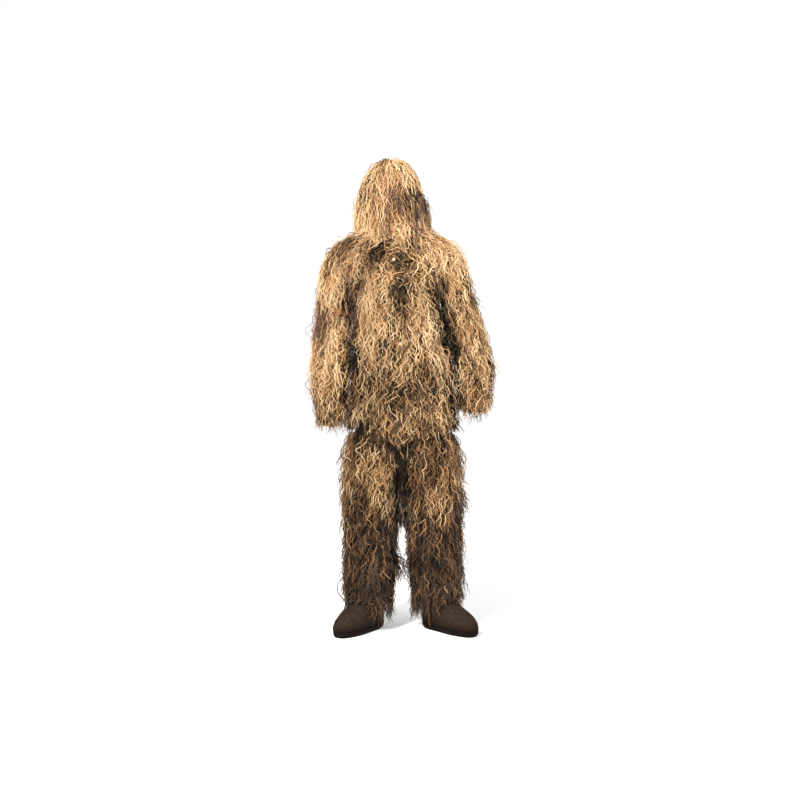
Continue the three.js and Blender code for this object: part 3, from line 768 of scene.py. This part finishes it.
def hood_yarn():
    def lay(name, nodes, *place, **growth):
        lay_yarn(name, "yarn_straw", nodes, "hood", *place, wildness=HOOD_WILDNESS, **growth)

    lay("hood_yarn_crown_piece", ["hood_yarn_crown"], HOOD, 1.818, 1.700,
        crowding=1.2, depth=0.026, root_lift=0.006, root_dusk=0.5)
    lay("hood_yarn_back_piece", ["hood_yarn_sides"], HOOD, 1.700, 1.560,
        arc=(1.0, FULL_TURN - 1.0), depth=0.036)
    lay("hood_veil_piece", ["hood_face_veil"], HOOD, 1.712, 1.560,
        arc=(-1.05, 1.05), ends=1.500, length=(0.13, 0.19), root_lift=0.006, crowding=1.1)
    lay("hood_skirt_piece", (), CAPE, 1.610, 1.520,
        length=(0.10, 0.17), root_lift=0.004, root_dusk=SHALLOW_DUSK)


YOKE_ARC = 0.75             # half the arc of the yoke's middle and back pieces
YOKE_X = -0.03              # the yoke's middle
YOKE_BEND = (0.10, 0.21)    # how far from there the yoke starts and ends bending


def yoke_yarn():
    """Yarn over the shoulders. The pieces at the sides are attached to no body."""
    lay_yarn("yoke_yarn_centre", "yarn_tan", ["jacket_yarn_yoke"], "torso", CAPE, 1.545, 1.400,
             arc=(-YOKE_ARC, YOKE_ARC), depth=0.020)
    lay_yarn("yoke_yarn_back", "yarn_tan", (), "torso", CAPE, 1.545, 1.400,
             arc=(math.pi - YOKE_ARC, math.pi + YOKE_ARC), depth=0.020)
    for side, sign in SIDES.items():
        middle = sign * QUARTER
        arc = (middle - QUARTER + YOKE_ARC, middle + QUARTER - YOKE_ARC)
        start, end = ((YOKE_X + sign * off, 0, 1.45) for off in YOKE_BEND)
        lay_yarn(f"yoke_yarn_{side}", "yarn_tan", (), ("torso", f"{side}_upper_sleeve", start, end),
                 CAPE, 1.545, 1.440, arc=arc, root_dusk=1.2)


def jacket_yarn():
    def depth(angle):
        """The pile is deepest at the sides, where it fills the space under the arms."""
        return YARN_DEPTH * (1 + 0.95 * np.abs(np.sin(angle)) ** 6)

    def dusk(angle):
        """Painted shade: the yarn at the sides is painted darker, where the arms shade it."""
        return GAP_DUSK * np.clip((np.abs(np.sin(angle)) - 0.88) / 0.08, 0, 1)

    def hem_ends(angle):
        """The hem hangs lowest in the middle of the front and back."""
        return 0.722 + 0.045 * np.sin(angle) ** 2

    tiers = [
        ("chest", 1.440, 1.110, "yarn_tan", None),
        ("waist", 1.110, 0.930, "yarn_straw", None),
        ("hem", 0.930, 0.790, "yarn_tan", hem_ends),
    ]
    for tier, top, bottom, slot, ends in tiers:
        for half, arc in (("front", FRONT_HALF), ("back", BACK_HALF)):
            nodes = [f"jacket_yarn_{tier}"] if half == "front" else ()
            lay_yarn(f"{tier}_yarn_{half}", slot, nodes, "torso", TORSO, top, bottom,
                     arc=arc, ends=ends, depth=depth, dusk=dusk)


def sleeve_yarn(side, sign):
    end = SLEEVE_END[side]

    def depth(angle):
        """The pile is deepest on the side next to the jacket."""
        return YARN_DEPTH * (1 + 0.55 * np.clip(-sign * np.sin(angle), 0, 1) ** 4)

    def dusk(angle):
        """Painted shade: that side, next to the jacket, is painted darker."""
        return GAP_DUSK * np.clip((-sign * np.sin(angle) - 0.84) / 0.10, 0, 1)

    def cuff_ends(angle):
        """The cuff's yarn hangs lowest at the middle of its front and back."""
        return end - 0.008 + 0.036 * np.sin(angle) ** 2

    tiers = [
        ("shoulder", 1.474, 1.350, None, "yarn_tan"),
        ("upper", 1.350, 1.150, None, "yarn_straw"),
        ("forearm", 1.150, 0.980, None, "yarn_straw"),
        ("wrist", 0.980, end + 0.05, cuff_ends, "yarn_tan"),
    ]
    for tier, top, bottom, ends, slot in tiers:
        rides = f"{side}_lower_sleeve" if tier == "wrist" else elbow(side)
        lay_yarn(f"{side}_sleeve_{tier}_piece", slot, [f"{side}_sleeve_yarn_{tier}"], rides,
                 SLEEVE[side], top, bottom, ends=ends, depth=depth, dusk=dusk, crowding=1.1)


def angle_towards(drape, place):
    """The angle round a drape at which a point outside it lies."""
    _, x, y, half_width, half_depth = drape.oval(drape.s_at(place[2]))
    return math.atan2((place[0] - x) / half_width, (y - place[1]) / half_depth)


def leg_yarn(side, sign):
    drape = LEG[side]
    tie = angle_towards(drape, TIE[0])
    toe = sign * FOOT[side][1]

    def ends(angle):
        """The fringe stops above the boot's instep and goes nearly to the ground elsewhere."""
        off = np.abs((angle - toe + math.pi) % FULL_TURN - math.pi)
        return 0.030 + 0.090 * np.exp(-(off / 0.72) ** 4)

    def depth(angle):
        outer = LEG_FULLNESS[side] * np.clip(sign * np.sin(angle), 0, 1) ** 2
        at_tie = TIE_FULLNESS[side] * np.exp(-((angle - tie) / 0.30) ** 2)
        return YARN_DEPTH * (1 + outer + at_tie)

    def thigh_depth(angle):
        """The thigh's outer side is full, so that no gap opens under the jacket's hem."""
        return YARN_DEPTH * (1 + 0.9 * np.clip(sign * np.sin(angle), 0, 1) ** 2)

    tiers = [
        ("thigh", 0.775, 0.600, "yarn_brown", knee(side), thigh_depth, SHALLOW_DUSK),
        ("knee", 0.600, 0.470, "yarn_brown", knee(side), depth, ROOT_DUSK),
        ("shin", 0.470, 0.290, "yarn_dark_brown", f"{side}_shin", depth, ROOT_DUSK),
        ("cuff", 0.290, 0.120, "yarn_dark_brown", f"{side}_shin", depth, ROOT_DUSK),
    ]
    for tier, top, bottom, slot, rides, fullness, root_dusk in tiers:
        lay_yarn(f"{side}_leg_{tier}_piece", slot, [f"{side}_leg_yarn_{tier}"], rides, drape, top, bottom,
                 ends=ends, depth=fullness, crowding=1.1, root_dusk=root_dusk)


def leg_wisps():
    """Loose locks inside the right shin and the left knee."""
    lay_yarn("right_leg_wisp_piece", "yarn_dark_brown", (), "right_shin", LEG["right"], 0.300, 0.250,
             arc=(1.10, 2.0), ends=0.150, length=(0.09, 0.14), depth=0.100, lean=-0.25, crowding=1.5,
             wildness=1.2)
    lay_yarn("left_leg_wisp_piece", "yarn_dark_brown", (), "left_thigh", LEG["left"], 0.570, 0.520,
             arc=(1.10, 1.9), ends=0.420, length=(0.09, 0.13), depth=0.070, crowding=1.2, wildness=1.1)


def seat_yarn():
    lay_yarn("seat_yarn_piece", "yarn_brown", ["trousers_yarn_seat"], "torso", SEAT, 0.870, 0.725,
             depth=0.016, length=(0.12, 0.17))
    between = Drape([(0.73, -0.002, 0.0, 0.012, 0.060), (0.40, -0.002, 0.0, 0.006, 0.045)])
    lay_yarn("crotch_yarn_piece", "yarn_dark_brown", ["trousers_yarn_crotch"], "torso", between,
             0.720, 0.500, ends=0.362, depth=0.010, crowding=1.6)


# ---------- cloth under the yarn
CLOTH_STEP = 0.015          # between rings of points down the netting
CLOTH_TURNS = 72            # points in a ring
CLOTH_LIFT = -0.001         # the netting lies this far inside its surface
# Half the gap where the netting is open down its length, as an angle
SEAM_GAP, FRONT_GAP, COLLAR_GAP = 0.008, 0.02, 0.01


def cloth(name, drape, top, bottom, opening=0.0, seam=0.0, skip=None):
    """Netting on a drape between two heights. It may be open down its length, at the angle seam."""
    first, last = drape.span(top, bottom)
    s = np.linspace(first, last, max(3, round((last - first) / CLOTH_STEP)))
    closed = opening == 0
    angle = seam + np.linspace(opening, FULL_TURN - opening, CLOTH_TURNS, endpoint=not closed)
    rings = drape.point(s[:, None] + 0 * angle[None], angle[None] + 0 * s[:, None], CLOTH_LIFT)
    return loft(name, rings, NETTING, closed=closed, skip=skip)


def shoulder_cloth():
    """The yoke of netting that spreads from the collar over the shoulders."""
    rows = smooth_path(SHOULDER_ROWS, 14)
    turn = np.linspace(COLLAR_GAP, FULL_TURN - COLLAR_GAP, CLOTH_TURNS)
    rings = [np.stack([x + half_width * np.sin(turn), y - half_depth * np.cos(turn), z + 0 * turn], -1)
             for z, x, y, half_width, half_depth in rows]
    return loft("shoulder_cloth", rings, NETTING, closed=False)


BAND_HALF = 0.0012          # half a band of webbing's thickness
BAND_LIFT = -0.004          # the bands at wrists and ankles lie inside the netting
# A band's section: how far down it and how far out from its middle, as shares
BAND_OUTLINE = [(0, 0), (0.15, 1), (0.5, 1.15), (0.85, 1), (1, 0), (0.85, -0.9), (0.15, -0.9), (0, 0)]


def band(name, drape, top, bottom, lift=BAND_LIFT):
    """A band of webbing round a drape, with an inner and an outer face and rolled edges."""
    first, last = drape.span(top, bottom)
    turn = np.linspace(0, FULL_TURN, CLOTH_TURNS, endpoint=False)
    rings = []
    for along, out in BAND_OUTLINE:
        s = first + (last - first) * along + 0 * turn
        rings.append(drape.point(s, turn, lift + BAND_HALF * out))
    return loft(name, rings, WEBBING)


def face_opening(points):
    return (points[:, 1] < -0.045) & (points[:, 2] > 1.530) & (points[:, 2] < 1.700)


def netting(name, nodes, rides, drape, top, bottom, **cut):
    """A panel of netting that stands for its CAD nodes. Its greatest girth is worked out, and nothing uses
    it.
    """
    panel = cloth(name, drape, top, bottom, **cut)
    finish_piece(panel, nodes, rides)
    first, last = drape.span(top, bottom)
    width = round(float(drape.girth(np.linspace(first, last, 40)).max()), 2)


def elastic(name, node, rides, *place, **lift):
    """A band that stands for its CAD node."""
    finish_piece(band(name, *place, **lift), [node], rides)


# The heights of the netting's panels, top and bottom
JACKET_SPAN = (1.500, 0.742)
HOOD_SPAN = (1.815, 1.520)
SEAT_SPAN = (1.058, 0.724)
LEG_SPAN = (0.711, 0.122)
SLEEVE_TOP = 1.476
WRIST_BAND = 0.014          # the width of the elastic at a wrist


def all_cloth():
    netting("jacket_cloth", ["jacket_netting"], "torso", TORSO, *JACKET_SPAN, opening=FRONT_GAP)
    shoulders = shoulder_cloth()
    finish_piece(shoulders, (), "torso")
    netting("hood_cloth", ["hood_netting"], "hood", HOOD, *HOOD_SPAN, skip=face_opening)
    netting("seat_cloth", ["trousers_netting_seat", "trousers_gusset"], "torso", SEAT, *SEAT_SPAN)
    for side, sign in SIDES.items():
        inner_seam = {"opening": SEAM_GAP, "seam": -sign * QUARTER}
        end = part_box(f"{side}_sleeve_netting_lower")[0][2] + 0.002
        netting(f"{side}_sleeve_cloth", [f"{side}_sleeve_netting_upper", f"{side}_sleeve_netting_lower"],
                elbow(side), SLEEVE[side], SLEEVE_TOP, end, **inner_seam)
        elastic(f"{side}_wrist_elastic", f"{side}_sleeve_elastic", f"{side}_lower_sleeve",
                SLEEVE[side], end + WRIST_BAND, end)
        netting(f"{side}_leg_cloth", [f"{side}_leg_netting_thigh", f"{side}_leg_netting_shin"],
                knee(side), LEG[side], *LEG_SPAN, **inner_seam)
        low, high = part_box(f"{side}_leg_elastic")
        elastic(f"{side}_ankle_elastic", f"{side}_leg_elastic", f"{side}_shin", LEG[side], high[2], low[2])


# The placket's section: how far across it, and how far out in thicknesses of its tape
TAPE_OUTLINE = [(-0.0165, 0), (-0.0165, 1), (-0.012, 1.5), (0, 1.3), (0.012, 1.5), (0.0165, 1), (0.0165, 0)]
TAPE_THICKNESS = 0.0010
PLACKET_SPAN = (1.494, 0.736)
PLACKET_LIFT = {"over": 0.0040, "under": 0.0015}


def waistband():
    low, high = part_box("trousers_waistband")
    drape = Drape([(high[2], -0.002, 0, 0.140, 0.098), (low[2], -0.001, 0, 0.140, 0.098)])
    elastic("waistband", "trousers_waistband", "torso", drape, high[2], low[2], lift=0.0)


def collar_band():
    low, high = np.array(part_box("jacket_collar_band"))
    oval = [*(low + high)[:2] / 2, *(high - low)[:2] / 2]
    drape = Drape([(z, *oval) for z in (high[2], low[2])])
    elastic("collar_band", "jacket_collar_band", "torso", drape, high[2], low[2], lift=-BAND_HALF)


def placket(layer):
    """A strip of tape down the jacket's front, crowned along its stitched edges."""
    s = np.linspace(*TORSO.span(*PLACKET_SPAN), 60)
    half_width = TORSO.oval(s)[3]
    rings = [TORSO.point(s, x / half_width, PLACKET_LIFT[layer] + TAPE_THICKNESS * out)
             for x, out in TAPE_OUTLINE]
    made = loft(f"placket_{layer}", np.stack(rings, 1), TAPE, caps=(True, True))
    finish_piece(made, [f"jacket_placket_{layer}"], "torso")


def fastenings():
    waistband()
    collar_band()
    for layer in PLACKET_LIFT:
        placket(layer)
    for name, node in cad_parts.items():
        if name.startswith("jacket_snap_"):
            node.data.materials.clear()
            node.data.materials.append(SNAP)


# ---------- boots
BOOT_ROWS = [
    # height, half width, half length, centre y
    (0.178, 0.047, 0.056, 0.016),
    (0.150, 0.0455, 0.054, 0.015),
    (0.128, 0.045, 0.060, 0.009),
    (0.110, 0.046, 0.079, -0.010),
    (0.094, 0.047, 0.101, -0.032),
    (0.078, 0.049, 0.119, -0.050),
    (0.062, 0.0505, 0.131, -0.061),
    (0.046, 0.0515, 0.1380, -0.0668),
    (0.034, 0.0515, 0.1400, -0.0685),
    (0.0246, 0.0500, 0.1385, -0.0670),
]
SOLE_ROWS = [
    # height, how far it stands out from the upper
    (0.0240, -0.0015), (0.0215, 0.0010), (0.0150, 0.0010),
    (0.0080, -0.0010), (0.0030, -0.0045), (0.0, -0.0095),
]
BED_HEIGHTS = (0.0250, 0.0270, 0.0294)  # of the insole
BED_MARGIN = 0.012          # how much smaller it is than the upper's bottom
LEATHER = 0.0042            # the upper's thickness
COLLAR_ROLL = [(0.0006, 0.0012), (0.0022, 0.0014), (0.0036, 0.0)]       # inwards, upwards
WELT_HEIGHT, WELT_RADIUS, WELT_MARGIN = 0.0262, 0.0016, 0.0006
ARCH = (-0.080, -0.034)     # where the sole is lifted between the forefoot and the heel
ARCH_RISE = 0.008
FOOT_RING = 64              # points in a ring of a boot
ANKLE_HALF, FOOT_HALF = 0.06, 0.11      # half the length of a round ankle and of a whole foot
ARCH_WAIST, HEEL_WAIST = 0.13, 0.10     # how much narrower a foot is there, as shares
TOE_SQUARE, HEEL_SQUARE = 0.66, 0.84    # below 1 the outline is squarer than an oval


def foot_ring(half_width, half_length, centre, z):
    """A foot's outline: broad at the ball, waisted at the arch and narrower at the heel."""
    turn = np.linspace(0, FULL_TURN, FOOT_RING, endpoint=False)
    forward = np.cos(turn)
    like_foot = np.clip((half_length - ANKLE_HALF) / (FOOT_HALF - ANKLE_HALF), 0, 1)
    arch = ARCH_WAIST * np.exp(-((forward + 0.25) / 0.32) ** 2)
    heel = HEEL_WAIST * np.clip(-forward, 0, 1) ** 2
    width = half_width * (1 - like_foot * (arch + heel))
    squareness = np.where(forward > 0, TOE_SQUARE, HEEL_SQUARE)
    across = np.sign(np.sin(turn)) * np.abs(np.sin(turn)) ** squareness
    return np.stack([width * across, centre - half_length * forward, z + 0 * turn], -1)


def place_boot(points, side):
    """Turns a boot outwards and stands it under its leg."""
    sign = SIDES[side]
    ankle_x, turn = sign * FOOT[side][0], sign * FOOT[side][1]
    points = np.array(points, float)
    points[..., 0] *= sign
    x = points[..., 0] * math.cos(turn) - points[..., 1] * math.sin(turn)
    y = points[..., 0] * math.sin(turn) + points[..., 1] * math.cos(turn)
    return np.stack([x + ankle_x, y, points[..., 2]], -1)


def boot_upper(side):
    rows = smooth_path(BOOT_ROWS[::-1], 34)
    outer = [foot_ring(width, length, centre, z) for z, width, length, centre in rows]
    height, width, length, centre = rows[-1]
    roll = [foot_ring(width - inset, length - inset, centre, height + rise)
            for inset, rise in COLLAR_ROLL]
    inner = [foot_ring(width - LEATHER, length - LEATHER, centre, z)
             for z, width, length, centre in rows[::-3]]
    rings = place_boot(outer + roll + inner, side)
    upper = loft(f"{side}_boot_upper_piece", rings, SUEDE, caps=(True, True))
    finish_piece(upper, [f"{side}_boot_upper"], f"{side}_shin")


def boot_bottom(side):
    """The sole, the welt above it and the insole in the boot."""
    body = f"{side}_shin"
    _, width, length, centre = BOOT_ROWS[-1]

    def ring(margin, z):
        return foot_ring(width + margin, length + margin, centre, z)

    sole_rings = [ring(margin, z) for z, margin in SOLE_ROWS]
    lifted = (sole_rings[-1][:, 1] > ARCH[0]) & (sole_rings[-1][:, 1] < ARCH[1])
    sole_rings[-1][lifted, 2] = ARCH_RISE
    sole_rings[-2][lifted, 2] = ARCH_RISE + 0.002
    sole = loft(f"{side}_boot_sole_piece", place_boot(sole_rings, side), RUBBER, caps=(True, True))
    finish_piece(sole, [f"{side}_boot_outsole"], body)

    welt_ring = ring(WELT_MARGIN, WELT_HEIGHT)
    path = place_boot(np.vstack([welt_ring, welt_ring[:1]]), side)
    welt = tube(f"{side}_boot_welt", path, WELT_RADIUS, SUEDE_EDGE, sides=8)
    finish_piece(welt, (), body)

    bed = place_boot([ring(-BED_MARGIN, z) for z in BED_HEIGHTS], side)
    insole = loft(f"{side}_boot_insole_piece", bed, FELT, caps=(True, True))
    finish_piece(insole, [f"{side}_boot_insole"], body)


# ---------- stage
def area_light(name, place, aim, size, power, colour=(1, 1, 1)):
    data = bpy.data.lights.new(name, "AREA")
    data.size, data.energy, data.color = size, power, colour
    aimed(name, data, place, aim)


def studio():
    floor = loft("floor", [[(-9, -9, 0), (9, -9, 0)], [(-9, 9, 0), (9, 9, 0)]],
                 plain_material("floor", (252, 252, 252), 1.0), closed=False)
    world = bpy.data.worlds.new("studio")
    world.use_nodes = True
    sky = world.node_tree.nodes["Background"].inputs
    sky["Color"].default_value = (1, 1, 1, 1)
    sky["Strength"].default_value = 1.0
    bpy.context.scene.world = world
    area_light("key", (-1.6, -3.2, 3.4), (0, 0, 1.1), 0.7, 420, (1.0, 0.96, 0.89))
    area_light("fill", (2.6, -3.0, 1.6), (0, 0, 0.9), 1.5, 60)
    bpy.context.scene.view_settings.view_transform = "Standard"


hood_yarn()
yoke_yarn()
jacket_yarn()
for wearers_side, x_sign in SIDES.items():
    sleeve_yarn(wearers_side, x_sign)
    leg_yarn(wearers_side, x_sign)
    boot_upper(wearers_side)
    boot_bottom(wearers_side)
leg_wisps()
seat_yarn()
all_cloth()
fastenings()
studio()
